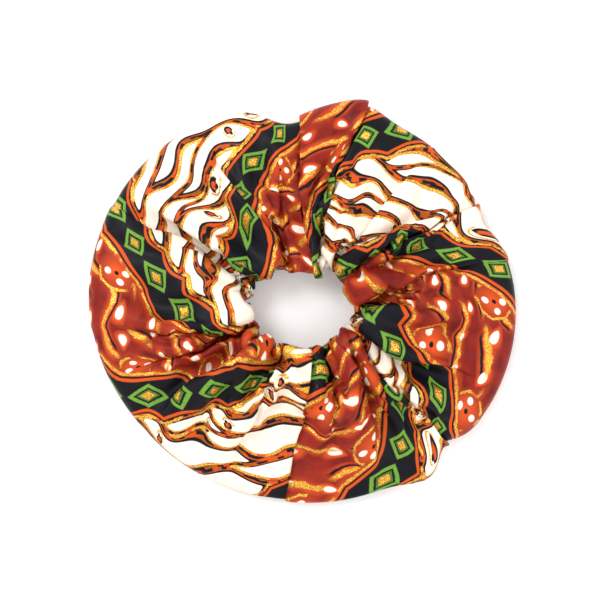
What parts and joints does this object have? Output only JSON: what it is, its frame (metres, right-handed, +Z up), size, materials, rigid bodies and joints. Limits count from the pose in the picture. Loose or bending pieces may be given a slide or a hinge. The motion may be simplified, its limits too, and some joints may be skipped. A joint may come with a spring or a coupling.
{
  "type": "scrunchie",
  "caption": "Gathered fabric hair tie: a printed cloth tube puffed out over a loop of flat elastic, lying flat with an oval opening.",
  "frame": {"origin": "middle of the opening, on the surface that the scrunchie lies on", "axes": "+Z up through the opening, +X along the longer width of the oval, which is the way it stretches"},
  "size_m": [0.12, 0.1124, 0.0193],
  "materials": {
    "printed_satin": "soft sheen",
    "woven_elastic": "matte ribbed",
    "sewing_thread": "matte"
  },
  "bodies": {
    "left_half": {"cover_left": "printed_satin", "elastic_left": "woven_elastic", "long_seam_thread_left": "sewing_thread", "elastic_join_stitches": "sewing_thread"},
    "right_half": {"cover_right": "printed_satin", "elastic_right": "woven_elastic", "long_seam_thread_right": "sewing_thread", "closing_seam_stitches": "sewing_thread"}
  },
  "joints": [
    {"name": "stretch", "type": "slide", "parent": "left_half", "child": "right_half", "axis": [1, 0, 0], "range_m": [0, 0.06], "stiffness_N_per_m": 90}
  ]
}
